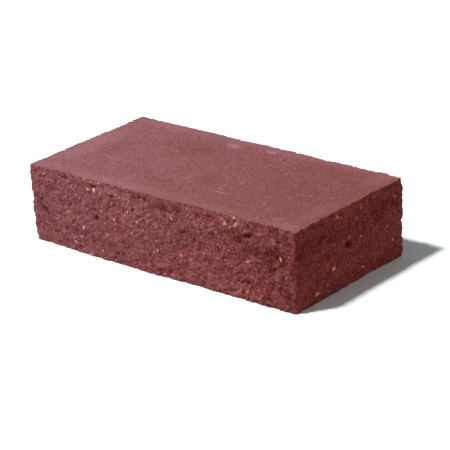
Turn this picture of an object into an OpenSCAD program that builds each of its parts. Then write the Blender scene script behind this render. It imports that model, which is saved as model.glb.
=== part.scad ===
// Split-face concrete brick: one pressed block with two smooth moulded beds
// and four sides broken rough by a splitter.

/* [Brick] */
// Length over the two split ends, in mm
length = 250; // [200:5:300]
// Width over the two split long faces
width = 135; // [90:5:170]
// Height from bed to bed
height = 62; // [45:1:90]

/* [Split sides] */
// Depth of the relief on the front
front_relief = 3.8; // [1:0.2:8]
// Depth of the relief on the back
back_relief = 4.2; // [1:0.2:8]
// Depth of the relief on the right end, the flattest break
right_relief = 1.8; // [1:0.2:8]
// Depth of the relief on the left end
left_relief = 2.6; // [1:0.2:8]
// Share of the relief that is left along the edges of the beds
edge_share = 0.5; // [0.2:0.1:1]
// Share of the relief that is left at the upright corners
corner_share = 0.3; // [0.2:0.1:1]
// Distance along a side over which its relief fades towards a corner
corner_reach = 22; // [10:1:40]
// How far the middle of a side stands out past its top and bottom edges
crown = 0.4; // [0:0.2:3]
// How far the foot of the front leans in at its left end
front_lean = 3.6; // [0:0.2:8]
// How far the foot of the left end leans in
left_lean = 0.8; // [0:0.2:8]

/* [Break pattern] */
// Distance from one broad swell of the break to the next
swell_pitch = 44; // [30:1:80]
// Distance from one lump of the break to the next
lump_pitch = 15; // [12:1:28]
// Height of the lumps as a share of the swells
lump_share = 0.6; // [0:0.05:1]
// Height of the single crumbs that stand out of the break
crumb_height = 0.7; // [0:0.1:1.5]
// Number that picks the break of the front
front_pattern = 103; // [1:1:999]
// Number that picks the break of the right end
right_pattern = 505; // [1:1:999]
// Number that picks the break of the back
back_pattern = 164; // [1:1:999]
// Number that picks the break of the left end
left_pattern = 129; // [1:1:999]

/* [Edges] */
// How far the top of the two back corners is knocked off
corner_chip = 0.8; // [0:0.2:4]
// Distance over which a knocked corner fades, along the sides and down
chip_reach = 6; // [4:1:20]
// Depth of the chips along the edges of the beds
edge_chip = 1.4; // [0:0.1:2.5]

/* [Detail] */
// Largest step between two points of a split side
step = 5; // [4.5:0.5:10]

/* [Hidden] */

concrete_red = "#7d4546";

// The sides run anticlockwise from above
FRONT = 0;
RIGHT = 1;
BACK = 2;
LEFT = 3;
SIDES = [FRONT, RIGHT, BACK, LEFT];

// Added to a side's pattern number, so that each kind of noise is its own
LUMP_SEED = 1000;
CRUMB_SEED = 2000;
CHIP_SEED = 3000;

rows = ceil(height / step);
row_height = height / rows;

function is_long(side) = side == FRONT || side == BACK;
function side_length(side) = is_long(side) ? length : width;
function side_steps(side) = ceil(side_length(side) / step);
function side_relief(side) = [front_relief, right_relief, back_relief, left_relief][side];
function side_pattern(side) =
    [front_pattern, right_pattern, back_pattern, left_pattern][side];

// Bell that is 1 at a distance of zero and fades over the reach
function fade(distance, reach) = exp(-pow(distance / reach, 2));

// Height of row k: the first and last rows lie half a row past the beds
function row_z(k) = (k - 0.5) * row_height;

// Smooth noise: random values on a square net, blended between its knots

function smooth(t) = t * t * (3 - 2 * t);
function blend(a, b, t) = a + (b - a) * t;

function noise_net(run, rise, pitch, seed) =
    let (
        across = ceil(run / pitch) + 3,
        up = ceil(rise / pitch) + 3,
        values = rands(-1, 1, across * up, seed)
    )
    [for (j = [0 : up - 1]) [for (i = [0 : across - 1]) values[j * across + i]]];

function noise(net, u, v) =
    let (i = floor(u), j = floor(v), a = smooth(u - i), b = smooth(v - j))
    blend(
        blend(net[j][i], net[j][i + 1], a),
        blend(net[j + 1][i], net[j + 1][i + 1], a),
        b
    );

// Swells, lumps and crumbs together, as rows of columns with no unit
function raw_relief(side) =
    let (
        run = side_length(side),
        steps = side_steps(side),
        rise = height + 2 * row_height,
        swells = noise_net(run, rise, swell_pitch, side_pattern(side)),
        lumps = noise_net(run, rise, lump_pitch, side_pattern(side) + LUMP_SEED)
    )
    [for (k = [0 : rows + 1]) [for (i = [0 : steps])
        let (s = run * i / steps, t = row_z(k) + row_height)
        noise(swells, s / swell_pitch + 0.5, t / swell_pitch + 0.5)
            + lump_share * noise(lumps, s / lump_pitch + 0.5, t / lump_pitch + 0.5)]];

// Distance to the back corner where a side ends: the front has none
function from_back_corner(side, s) =
    side == BACK ? min(s, side_length(side) - s)
    : side == RIGHT ? side_length(side) - s
    : side == LEFT ? s
    : length;

// What a side loses besides its relief: crown, lean and knocked corners
function shape_loss(side, s, z) =
    let (
        run = side_length(side),
        below_top = max(0, 1 - z / height),
        lean = side == LEFT ? left_lean * pow(below_top, 1.5)
            : side == FRONT ? front_lean * below_top * pow(1 - s / run, 3)
            : 0
    )
    crown * pow(2 * z / height - 1, 2)
        + lean
        + corner_chip * fade(from_back_corner(side, s), chip_reach)
            * fade(height - z, chip_reach);

// Inward depth at every point of a side, as rows of columns, shifted so that
// the proudest point between the beds lies on the brick's nominal box
function side_depths(side) =
    let (
        run = side_length(side),
        steps = side_steps(side),
        raw = raw_relief(side),
        low = min([for (line = raw) min(line)]),
        high = max([for (line = raw) max(line)]),
        crumb_seed = side_pattern(side) + CRUMB_SEED,
        crumbs = rands(0, crumb_height, (rows + 2) * (steps + 1), crumb_seed),
        chips = noise_net(run, 2 * lump_pitch, lump_pitch, side_pattern(side) + CHIP_SEED),
        full = [for (k = [0 : rows + 1]) [for (i = [0 : steps])
            let (
                s = run * i / steps,
                z = row_z(k),
                off_middle = min(1, abs(2 * z / height - 1)),
                near_corner = fade(min(s, run - s), corner_reach),
                near_bed = max(0, 1 - min(abs(z), abs(height - z)) / row_height),
                chip = noise(chips, s / lump_pitch + 0.5, z > height / 2 ? 1 : 2)
            )
            side_relief(side) * blend(1, edge_share, pow(off_middle, 2))
                    * blend(1, corner_share, near_corner)
                    * (raw[k][i] - low) / (high - low)
                + shape_loss(side, s, z)
                + crumbs[k * (steps + 1) + i]
                + edge_chip * near_bed * max(0, chip)]],
        proudest = min([for (k = [1 : rows]) min(full[k])])
    )
    [for (line = full) [for (depth = line) max(0, depth - proudest)]];

// The four corners of row k, pushed in by both sides that meet there
function corner_points(depths, k) =
    let (
        half_length = length / 2,
        half_width = width / 2,
        last = [for (side = SIDES) side_steps(side)]
    )
    [
        [-half_length + depths[LEFT][k][last[LEFT]], -half_width + depths[FRONT][k][0]],
        [half_length - depths[RIGHT][k][0], -half_width + depths[FRONT][k][last[FRONT]]],
        [half_length - depths[RIGHT][k][last[RIGHT]], half_width - depths[BACK][k][0]],
        [-half_length + depths[LEFT][k][0], half_width - depths[BACK][k][last[BACK]]]
    ];

// Points of one side in row k, from its first corner up to the next
function side_points(depths, corners, side, k) =
    let (start = corners[side], end = corners[(side + 1) % 4], steps = side_steps(side))
    [for (i = [0 : steps - 1])
        let (
            along_x = blend(start[0], end[0], i / steps),
            along_y = blend(start[1], end[1], i / steps),
            depth = depths[side][k][i]
        )
        side == FRONT ? [along_x, -width / 2 + depth, row_z(k)]
        : side == RIGHT ? [length / 2 - depth, along_y, row_z(k)]
        : side == BACK ? [along_x, width / 2 - depth, row_z(k)]
        : [-length / 2 + depth, along_y, row_z(k)]];

function ring(depths, k) =
    let (corners = corner_points(depths, k))
    [for (side = SIDES) each side_points(depths, corners, side, k)];

// Wall of triangles between the rings, its diagonals turned in a chequer
function wall_faces(count) =
    [for (k = [0 : rows]) for (i = [0 : count - 1])
        let (
            a = k * count + i,
            b = k * count + (i + 1) % count,
            c = b + count,
            d = a + count
        )
        each (i + k) % 2 == 0 ? [[a, c, b], [a, d, c]] : [[a, d, b], [b, d, c]]];

// Fan that closes a ring to a middle point
function cap_faces(first, count, middle, facing_up) =
    [for (i = [0 : count - 1])
        let (a = first + i, b = first + (i + 1) % count)
        facing_up ? [middle, b, a] : [middle, a, b]];

module split_block() {
    depths = [for (side = SIDES) side_depths(side)];
    rings = [for (k = [0 : rows + 1]) ring(depths, k)];
    count = len(rings[0]);
    low_middle = count * (rows + 2);
    high_middle = low_middle + 1;
    polyhedron(
        points = [
            for (one = rings) each one,
            [0, 0, row_z(0)],
            [0, 0, row_z(rows + 1)]
        ],
        faces = [
            each wall_faces(count),
            each cap_faces(0, count, low_middle, false),
            each cap_faces(count * (rows + 1), count, high_middle, true)
        ]
    );
}

// The two beds are flat mould faces, so they cut the rough block straight
module brick() {
    color(concrete_red)
        intersection() {
            split_block();
            translate([-length, -width, 0])
                cube([2 * length, 2 * width, height]);
        }
}

brick();
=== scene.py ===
"""Split-face concrete brick: the finish of its two moulded beds and its four broken sides.

The packed model gives the block. This script lays a finer skin over it, sets stone chips
into the break, and puts the brick on a plain pale floor under soft light.
"""

import math
from collections import namedtuple

import bmesh
import bpy
import numpy as np
from bpy.props import FloatProperty, FloatVectorProperty, IntProperty, PointerProperty
from mathutils import Matrix, Vector
from mathutils.bvhtree import BVHTree
from mathutils.geometry import delaunay_2d_cdt


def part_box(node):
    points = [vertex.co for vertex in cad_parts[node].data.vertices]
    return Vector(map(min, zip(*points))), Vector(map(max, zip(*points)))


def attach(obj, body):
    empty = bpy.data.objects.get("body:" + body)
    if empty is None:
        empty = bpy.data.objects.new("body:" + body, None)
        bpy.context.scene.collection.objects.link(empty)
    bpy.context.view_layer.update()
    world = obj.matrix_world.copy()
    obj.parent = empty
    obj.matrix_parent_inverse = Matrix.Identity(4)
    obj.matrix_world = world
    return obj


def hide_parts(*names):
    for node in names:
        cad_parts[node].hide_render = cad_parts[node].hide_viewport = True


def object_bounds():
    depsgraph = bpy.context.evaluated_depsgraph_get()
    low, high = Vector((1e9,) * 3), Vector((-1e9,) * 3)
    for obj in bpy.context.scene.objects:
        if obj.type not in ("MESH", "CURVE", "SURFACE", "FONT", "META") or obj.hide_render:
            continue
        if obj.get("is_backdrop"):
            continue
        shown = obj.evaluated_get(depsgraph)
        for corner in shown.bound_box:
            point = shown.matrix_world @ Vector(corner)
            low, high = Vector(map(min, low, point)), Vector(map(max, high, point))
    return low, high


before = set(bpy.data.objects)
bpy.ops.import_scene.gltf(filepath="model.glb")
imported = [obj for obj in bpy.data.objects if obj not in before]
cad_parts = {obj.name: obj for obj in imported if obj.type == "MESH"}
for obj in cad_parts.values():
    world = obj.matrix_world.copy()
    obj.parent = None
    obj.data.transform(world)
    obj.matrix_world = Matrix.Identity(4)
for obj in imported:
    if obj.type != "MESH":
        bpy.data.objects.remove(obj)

bl_info = {
    "name": "Split-face concrete brick",
    "version": (1, 0, 0),
    "blender": (4, 5, 0),
    "location": "3D View > Sidebar > Brick",
    "description": "Builds the rough sides, moulded beds and stone chips of a concrete brick",
    "category": "Object",
}

CAD_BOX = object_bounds()
NODE = "brick"
BODY = "root"
SKIN_NAME = "brick_concrete"
CHIPS_NAME = "stone_chips"

# Name of the map that lays each side and each bed of the skin flat. The export bakes
# the skin through its own map where that has this name
MAP_NAME = "OFBake"

MM = 0.001
CM2 = 1e-4
DM2 = 1e-2
LOW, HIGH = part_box(NODE)
LENGTH, WIDTH, HEIGHT = HIGH - LOW

# --- The four split sides and the bands of their relief ---

# Anticlockwise from above: the corner where each starts, the way it runs and faces, its
# run, how rough it broke at its start and at its end, and how much painted shade deepens its red
Side = namedtuple("Side", "name start along outward run rough deep")
SIDES = (
    Side("front", (LOW.x, LOW.y), (1, 0), (0, -1), LENGTH, (0.9, 1.2), 0.0),
    Side("right", (HIGH.x, LOW.y), (0, 1), (1, 0), WIDTH, (0.9, 0.8), 1.0),
    Side("back", (HIGH.x, HIGH.y), (-1, 0), (0, 1), LENGTH, (1.0, 1.0), 0.0),
    Side("left", (LOW.x, HIGH.y), (0, -1), (-1, 0), WIDTH, (0.8, 0.8), 1.0),
)

# Random relief: its longest and shortest waves, how much weaker the shorter ones are, and
# how far its features are drawn out along a line that climbs to the right
Band = namedtuple("Band", "longest shortest falloff drawn")
LUMPS = Band(16 * MM, 4 * MM, 1.5, 1.25)
RIDGES = Band(22 * MM, 5 * MM, 1.6, 1.0)
CRUMBS = Band(4 * MM, 1.5 * MM, 0.3, 1.6)
BITES = Band(16 * MM, 2.5 * MM, 0.8, 1.0)
NIBBLES = Band(5 * MM, 1.6 * MM, 0.2, 1.0)
NOTCHES = Band(20 * MM, 3 * MM, 1.3, 1.0)
RAGGED_RIM = Band(12 * MM, 2 * MM, 0.5, 1.0)
CLIMB = math.radians(38)

# Shallow waves and small dents of a moulded bed: how many, and their reach and depth in mm
BedRelief = namedtuple("BedRelief", "count reach depth")
BED_WAVES = BedRelief(14, (12, 34), (0.03, 0.12))
BED_DENTS = BedRelief(9, (2.2, 4.5), (0.15, 0.4))

# Sand grains: radius over the largest one's, how far the power moves them to the small
# end, and how far they stand out, over their radius
GRAIN_RADIUS = (0.4, 1)
GRAINS_SMALL = 1.5
GRAIN_HEIGHT = (0.15, 0.42)

# Small pits: length in mm, breadth and depth over it, and tilt in radians. Listed hollows:
# those broader than this many mm have the softer rim.
PIT_LENGTH = (1.4, 4.2)
PIT_BREADTH = (0.5, 1)
PIT_DEPTH = (0.2, 0.4)
PIT_TILT = (0, 3)
BROAD_HOLLOW = 8
FIRM_RIM, SOFT_RIM = 0.9, 1.6

# How far in the loss along the edges of the beds and at the upright corners reaches, how
# near a corner the one and how near a bed the other is weaker, and how worn the corners are
EDGE_REACH = 2.6 * MM
CORNER_REACH = 2.4 * MM
EDGE_ENDS = 7 * MM
CORNER_ENDS = 4 * MM
CORNER_WEAR = 0.25 * MM
WEAR_REACH = 1.2 * MM

# Length over which the block's own relief is smoothed, reach of what a hollow is compared
# with, how near a corner the finer relief is weaker, and how far it may pass the block's box
BLOCK_SMOOTHING = 2.2 * MM
HOLLOW_REACH = 2.5 * MM
QUIET_CORNER = 3 * MM
MOST_PROUD = 0.4 * MM

# How far from a corner a side shifts to meet the next one, in its broad form and closely,
# and how many points to each side its broad form is averaged over
BROAD_TURN = 45 * MM
CLOSE_TURN = 6 * MM
TURN_POINTS = 12

# How far the rim of a bed crumbles: for one standard deviation, and at most
RIM_CRUMBLE = 0.22 * MM
RIM_MOST = 0.55 * MM

# Patches where none are listed: the run of a side for each, and the range of their length
# and breadth in mm, strength, dark or pale, and range of their tilt in degrees
PATCH_PITCH = 11 * MM
PATCH_LENGTH = (10, 36)
PATCH_BREADTH = (7, 18)
PATCH_STRENGTHS = (0.7, -0.5)
PATCH_TILT = (-40, 40)

# Rays at the block start this far outside its box and go in at most this far
RAY_START = 10 * MM
RAY_REACH = 40 * MM

# --- What stands out in the break ---

# Hollows, in mm: place along the side, height above the lower bed, length, breadth,
# depth, and tilt of the length in degrees
Hollow = namedtuple("Hollow", "along up length breadth depth tilt")
HOLLOWS = {
    "front": (
        (206.8, 50.3, 10, 5.2, 2.5, 20),
        (64.4, 31.8, 6.0, 5.0, 2.3, 60),
        (137, 31, 3, 11, 1.3, 5),
        (13, 28, 14, 3.5, 1.3, -50),
        (134, 54, 30, 9, 1.3, -3),
        (108, 57, 16, 5, 1.2, 8),
        (172, 55, 14, 6, 1.3, -8),
        (230, 38, 40, 22, 1.5, -5),
        (92, 44, 26, 6, 0.9, -10),
        (48, 5, 10, 5, 1.0, 30),
        (38, 17, 24, 9, 0.8, -12),
        (228, 14, 22, 12, 0.8, 10),
        (63.4, 57, 7, 3.6, 1.8, -6),
        (81, 52.6, 4, 3.2, 1.4, 0),
        (34.5, 58.6, 7, 3.6, 1.6, -10),
        (142, 56, 15, 7, 1.5, -10),
        (160.5, 55.5, 7, 5, 1.1, -10),
        (175, 44, 6, 7, 1.2, 0),
    ),
    "right": (
        (65, 32.4, 8.6, 5.6, 3.6, -28),
        (92, 19, 3.5, 8, 1.0, 0),
        (19, 25, 3, 3, 1.3, 0),
    ),
    "back": (
        (70, 40, 15, 7, 2.0, 25),
        (158, 24, 5, 5, 2.0, 0),
        (205, 52, 26, 7, 1.4, -6),
    ),
    "left": (
        (48, 38, 12, 5, 1.8, -20),
        (97, 17, 4, 4, 1.8, 0),
    ),
}

# Patches of painted shade, or with a strength below zero of painted light: darker than the
# rest where the broad relief and the hollows would lie in shade, paler where light would fall.
# Place along the side, height, length and breadth in mm, strength, and tilt in degrees
Patch = namedtuple("Patch", "along up length breadth strength tilt")
PATCHES = {
    "front": (
        (238, 29, 56, 90, 0.8, 0),
        (229, 38, 36, 20, 0.5, 4),
        (196, 44, 34, 12, 0.4, 0),
        (216, 48, 12, 10, -0.5, 20),
        (160, 36, 50, 14, 0.4, 0),
        (133, 55, 36, 10, 0.7, -6),
        (164, 56, 10, 8, 0.4, 0),
        (138, 32, 8, 11, 0.5, 0),
        (131, 21, 8, 8, 0.4, 0),
        (64.4, 31.8, 6, 6, 0.7, 0),
        (80, 9, 30, 14, 0.55, 0),
        (62, 18, 24, 12, 0.35, 0),
        (35, 8, 20, 9, 0.7, 0),
        (13, 30, 24, 10, 0.6, -50),
        (10, 48, 14, 10, 0.4, 0),
        (70, 57, 90, 12, -0.5, 0),
        (93, 42, 34, 18, -0.25, 0),
        (110, 40, 30, 16, -0.25, 0),
        (154, 54, 13, 10, -0.5, 30),
        (190, 58, 14, 7, -0.9, 0),
        (140, 16, 40, 10, -0.3, 8),
        (208, 32, 18, 8, -0.4, 35),
        (203, 7, 20, 9, -0.6, 0),
        (34, 27, 30, 14, -0.2, 0),
        (33, 38, 14, 10, 1.0, 0),
        (217, 35, 36, 10, 0.65, 0),
        (223, 47, 24, 8, -0.45, 0),
        (190, 46, 12, 8, 0.45, 0),
        (151, 47, 12, 10, -0.55, 0),
        (86, 31, 14, 16, 0.45, 0),
        (126, 37, 12, 10, -0.85, 0),
        (177, 57, 14, 8, -0.5, 0),
        (64, 15, 24, 8, 0.4, 0),
        (8, 26, 22, 34, 0.45, 0),
        (240, 17, 20, 12, 0.5, 0),
        (60, 57, 14, 8, 0.5, 0),
        (19, 24, 14, 12, 0.5, 0),
        (128, 7, 16, 10, 0.6, 0),
        (90, 54, 14, 11, -0.5, 0),
        (47, 12, 14, 14, 0.5, 0),
        (63, 57.4, 8, 4, 1.2, -10),
        (61.5, 51, 6, 4, 0.9, 0),
        (81, 53, 6, 4, 1.0, 0),
        (34.5, 58.6, 8, 5, 0.8, 0),
        (21, 47, 16, 7, 0.5, 0),
    ),
    "right": (
        (67, 45, 220, 24, 0.75, 0),
        (6, 38, 24, 34, 0.45, 0),
        # Painted light: the lower part of the end and its foot made paler, standing in for light
        # from the floor
        (70, 13, 170, 24, -0.85, 0),
        (70, 0, 170, 9, -1.6, 0),
        (65, 32.4, 8.6, 6.4, 2.2, -20),
        (92, 17, 6, 14, 0.5, 10),
        (35, 46, 30, 10, 0.3, 0),
        (8, 46, 18, 12, 0.3, 0),
        (114, 51, 32, 20, 0.5, 0),
        (22, 30, 8, 10, 0.3, 0),
        (20, 57, 40, 10, 0.35, 0),
        (8, 20, 14, 14, 0.35, 0),
        (64, 57, 26, 8, -0.6, 0),
    ),
}

# Stone chips: place along the side, height, length and breadth in mm, tilt in degrees,
# kind of stone, and for some how much paler than its kind
Chip = namedtuple("Chip", "along up length breadth tilt stone tone", defaults=(1.0,))
CHIPS = {
    "front": (
        (196.6, 56, 5.6, 4.8, 10, "ochre", 0.72),
        (187.1, 55, 4.6, 3.6, 80, "ochre", 0.95),
        (194.8, 61, 3.0, 2.0, 0, "cream", 1.25),
        (64.7, 54.1, 4.8, 2.4, 85, "cream", 1.35),
        (58.8, 53.6, 6.4, 3.4, -15, "ochre", 0.7),
        (77.5, 54.5, 4.5, 2.4, 10, "tan"),
        (85, 55, 5.0, 2.4, 25, "tan"),
        (69, 60.6, 3.8, 2.2, 0, "tan", 0.9),
        (62, 60.2, 5.0, 2.0, 0, "grey"),
        (137.6, 48.8, 5.0, 3.0, 88, "ochre"),
        (157, 55.2, 5.0, 2.2, 30, "brown", 1.25),
        (127.5, 49.2, 4.0, 3.0, 0, "brown", 0.75),
        (105.4, 38, 3.6, 2.8, 20, "tan", 1.2),
        (110.8, 32.6, 2.4, 2.0, 0, "cream", 0.8),
        (83, 34.8, 2.6, 2.2, 0, "cream"),
        (83.5, 32, 4.6, 2.8, 10, "brown", 1.25),
        (69.4, 38.4, 3.0, 4.0, 85, "ochre", 1.15),
        (145.4, 20.8, 4.4, 3.8, 0, "orange"),
        (124, 19.6, 4.0, 2.2, 85, "cream", 0.65),
        (206.4, 7.2, 4.2, 3.6, 30, "orange", 0.56),
        (200.6, 7.8, 2.6, 1.8, 80, "pink", 1.2),
        (235, 39.2, 6.0, 2.4, 92, "ochre"),
        (206.7, 30.2, 5.4, 2.2, 35, "pink"),
        (179, 26.4, 3.4, 2.6, 80, "brown", 1.45),
        (180, 37.8, 3.4, 3.2, 40, "brown"),
        (152.2, 27.6, 3.4, 2.4, 40, "brown"),
        (158.5, 36.4, 2.8, 2.0, 80, "brown"),
        (165.6, 27, 2.2, 2.0, 0, "cream"),
        (51.6, 21.2, 4.8, 3.0, 85, "cream", 1.12),
        (43.5, 8.2, 4.8, 2.8, -25, "ochre", 0.9),
        (49.2, 7.8, 3.0, 2.4, 0, "orange", 1.3),
        (48.5, 13.2, 2.6, 2.0, 0, "cream", 1.4),
        (28.8, 13.3, 3.0, 2.4, 0, "grey"),
        (59.2, 2, 4.6, 2.4, 10, "pink"),
        (15, 57.2, 2.4, 2.0, 80, "cream", 1.15),
        (115, 6.6, 3.2, 2.6, 70, "pink", 1.2),
        (240.5, 25.6, 3.0, 2.0, 80, "cream", 1.2),
        (231, 50, 4.0, 2.4, 10, "brown", 1.3),
        (94.5, 43.6, 2.4, 2.0, 0, "pink"),
        (217.4, 4.8, 2.6, 1.8, 20, "ochre", 0.7),
        (224.4, 3.4, 3.0, 1.6, 10, "orange", 0.8),
    ),
    "right": (
        (51.4, 57.4, 5.0, 2.0, 70, "ochre"),
        (49.2, 55.6, 3.4, 2.2, -20, "brown", 0.9),
        (53.4, 56.6, 2.8, 1.8, 20, "orange"),
        (52.4, 60, 2.0, 1.6, 0, "orange"),
        (57.5, 54.8, 3.0, 2.4, 0, "pink", 0.95),
        (80, 57, 6.4, 2.6, 75, "orange", 1.15),
        (74.5, 49.5, 6.0, 4.0, 20, "brown", 0.75),
        (64.8, 37.8, 5.0, 3.2, 80, "ochre"),
        (80.8, 33.3, 3.8, 2.2, -35, "cream", 0.85),
        (46.7, 19.4, 5.6, 4.2, 85, "cream", 1.1),
        (26.4, 6.6, 7.6, 3.4, 6, "cream"),
        (38.8, 4.6, 4.0, 2.6, 60, "orange", 1.4),
        (121.8, 17.6, 5.8, 4.6, 85, "pink", 1.25),
        (38.8, 25.4, 3.0, 2.4, 0, "pink"),
        (39.2, 10, 3.2, 2.4, 0, "cream"),
        (83, 8.6, 3.6, 3.0, 0, "cream"),
        (102.5, 12.5, 3.4, 2.2, 10, "cream", 1.3),
        (122.8, 50.8, 3.4, 2.0, -20, "cream"),
        (71, 2.8, 4.4, 2.4, -30, "pink"),
        (113.8, 30.2, 3.0, 2.2, 0, "pink"),
        (48.5, 38.4, 3.6, 2.6, 0, "pink", 0.6),
        (103.5, 58.6, 3.0, 2.0, 0, "cream"),
        (12, 46, 3.0, 2.2, 0, "brown", 0.8),
    ),
}

# --- Marks on the beds ---

# Place from the middle of the bed, length and breadth in mm, tilt in degrees, strength
Mark = namedtuple("Mark", "x y length breadth tilt strength")
PALE_MARKS = (
    (-72, -35, 7, 4, 20, 0.45),
    (-109, -51, 9, 5, 0, 0.45),
    (101, -49.5, 10, 5, 10, 0.5),
    (-43, -51, 16, 5, 5, 0.4),
    (-63, 18.5, 5, 3, 0, 0.4),
    (-13, 48, 7, 3.5, 30, 0.4),
    (-37, 56, 9, 4, 0, 0.4),
    (8, -30, 7, 3, 0, 0.3),
    (-40, -60, 100, 14, 2, 0.4),
    (40, -60, 60, 12, 0, 0.3),
    (-90, 58, 70, 16, 0, 0.4),
    (-114, 0, 30, 130, 0, 0.5),
    (114, -30, 16, 60, 0, 0.3),
    (110, -60, 34, 18, 0, 0.6),
    (112, 50, 24, 30, 0, 0.35),
    (-7, -22, 10, 44, 0, 0.25),
)
SCUFFS = (
    (32, -33, 14, 1.6, 0, 0.8),
    (27.5, -27, 5, 2.0, 6, 1.0),
    (-50, 18, 5, 2, 0, 0.4),
    (0, -28, 6, 3, 0, 0.25),
    (97, -52, 6, 2.5, 0, 0.35),
    (-66, -38, 4, 2, 20, 0.35),
    (-105, -56, 5, 3, 0, 0.3),
    (60, 30, 4, 2, 40, 0.2),
)
LIME_MARKS = (
    (-21, 51.5, 18, 12, 4, 0.6),
    (12.5, 56.5, 13, 8, -4, 0.7),
    (30, 62, 240, 13, 0, 0.15),
)
DARK_MARKS = (
    (106, 13.5, 3.6, 3, 0, 0.9),
    (30, 47.5, 3, 2.4, 0, 0.7),
    (-30, 22.5, 2.6, 2.4, 0, 0.6),
    (40, 27.5, 2.4, 2, 0, 0.6),
    (-19, 37.5, 3, 2, 0, 0.5),
    (71, 20, 2.4, 2, 0, 0.6),
    (-110, -44, 13, 2.4, -35, 0.5),
    (-103, -46, 6, 2, 10, 0.3),
    (-42, 32, 66, 40, -8, 0.2),
    (-95, 2, 26, 40, 0, 0.14),
    (8, -18, 26, 24, 0, 0.14),
    (-20, -38, 34, 14, 0, 0.12),
    (66, 8, 60, 34, 10, 0.1),
)

# Where a mark has faded out, over half its length, and how far down from the upper bed
# the marks reach, so that the lower bed has none
MARK_RIM = 1.2
MARK_DEPTH = 50 * MM

# --- Colours that are not settings ---

# What the red of the break is multiplied by: from the left to the right of the brick, partly
# pigment and partly painted light; on its two ends, a painted shade; from cloud to cloud; and
# in its darkest, paler and palest patches, of painted shade and painted light
# Paler and more violet at the left end, darker and browner at the right: partly pigment, partly
# painted light
PLUM = (1.0, 1.07, 1.12)
BROWN = (0.95, 0.88, 0.84)
# Painted shade: the two ends take this deeper red, as sides turned from the light
PAINTED_SHADE_RED = (1.01, 0.74, 0.613)
RUST = (1.0, 0.985, 0.95)
VIOLET = (1.0, 1.015, 1.05)
DARKER = (0.46, 0.26, 0.25)
PALER = (1.2, 1.35, 1.35)
PALEST = (1.5, 1.8, 1.8)

# What the red of the beds is multiplied by: from left to right, partly pigment and partly
# painted light, and from cloud to cloud
BED_PLUM = (1.02, 1.035, 1.065)
BED_BROWN = (0.975, 0.935, 0.893)
BED_RUST = (1.0, 1.0, 0.965)
BED_VIOLET = (1.0, 1.0, 1.035)

# Colour painted as shade deep in a crevice, colours of dry cement along a scuff and of lime
# on the beds, and what the weathered part of a stone is multiplied by
CREVICE_SHADE = (0.18, 0.007, 0.007)
SCUFF = (0.55, 0.30, 0.26)
LIME = (0.56, 0.29, 0.34)
WEATHERED = (0.62, 0.52, 0.48)

# Kinds of stone: colour, and share of the chips that are scattered
Stone = namedtuple("Stone", "colour share")
STONES = {
    "ochre": Stone((0.86, 0.435, 0.28), 0.2),
    "cream": Stone((0.92, 0.55, 0.43), 0.26),
    "pink": Stone((0.64, 0.29, 0.28), 0.28),
    "orange": Stone((0.78, 0.31, 0.11), 0.08),
    "brown": Stone((0.44, 0.15, 0.10), 0.14),
    "grey": Stone((0.52, 0.28, 0.26), 0.04),
    "tan": Stone((0.66, 0.30, 0.22), 0.0),
}

# Share of the ends' painted shade that a stone on an end takes, and how much stones of a kind
# differ
STONE_SHADE_SHARE = 0.85
STONE_TONES = (0.82, 1.15)

# A ball is cut by this many planes, between these shares of its radius from its middle.
# On a stone broader than this they start further out, up to this share more.
STONE_CUTS = 8
CUT_FROM, CUT_TO = 0.4, 0.8
BROAD_STONE = 3 * MM
BROAD_CUT = 0.25

# How far a stone leans out of the break, in radians, its thickness over its breadth, how
# far its middle lies under the skin, over its thickness, and a scattered one's breadth
# over its length
STONE_LEAN = 0.25
STONE_THICKNESS = (0.7, 1.0)
STONE_SUNK = 0.2
STONE_BREADTH = (0.55, 1.0)

# Scattered stones, over the number that is set, and the longest: where stones are listed,
# and where none are. The power makes most of them small.
SHARE_LISTED, SHARE_UNLISTED = 0.9, 2.4
LONGEST_LISTED = 2.4 * MM
MOSTLY_SMALL = 2.6

# The floor's colour for the light that it throws back, and for what the camera sees
WHITE = (1, 1, 1)
FLOOR_LIT = (0.80, 0.80, 0.80)
FLOOR_SEEN = (1.13, 1.25, 1.26)

# --- Camera and lamps ---

# Point that the camera looks at, and the way to each lamp from the brick
AIM = Vector((9.5 * MM, 0, 20.5 * MM))
KEY_TOWARDS = Vector((-0.303, -0.495, 1.0))
KEY_ANGLE = math.radians(6)
KEY_COLOUR = (1, 0.98, 0.95)
SIDE_TOWARDS = Vector((-0.62, -0.42, 0.66))
SIDE_AWAY = 0.42
SIDE_SIZE = 0.25
SIDE_POWER = 0.8
SIDE_COLOUR = (0.55, 0.85, 1.0)
FLOOR_REACH = 6.0


# --- Settings a user would change ---


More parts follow.
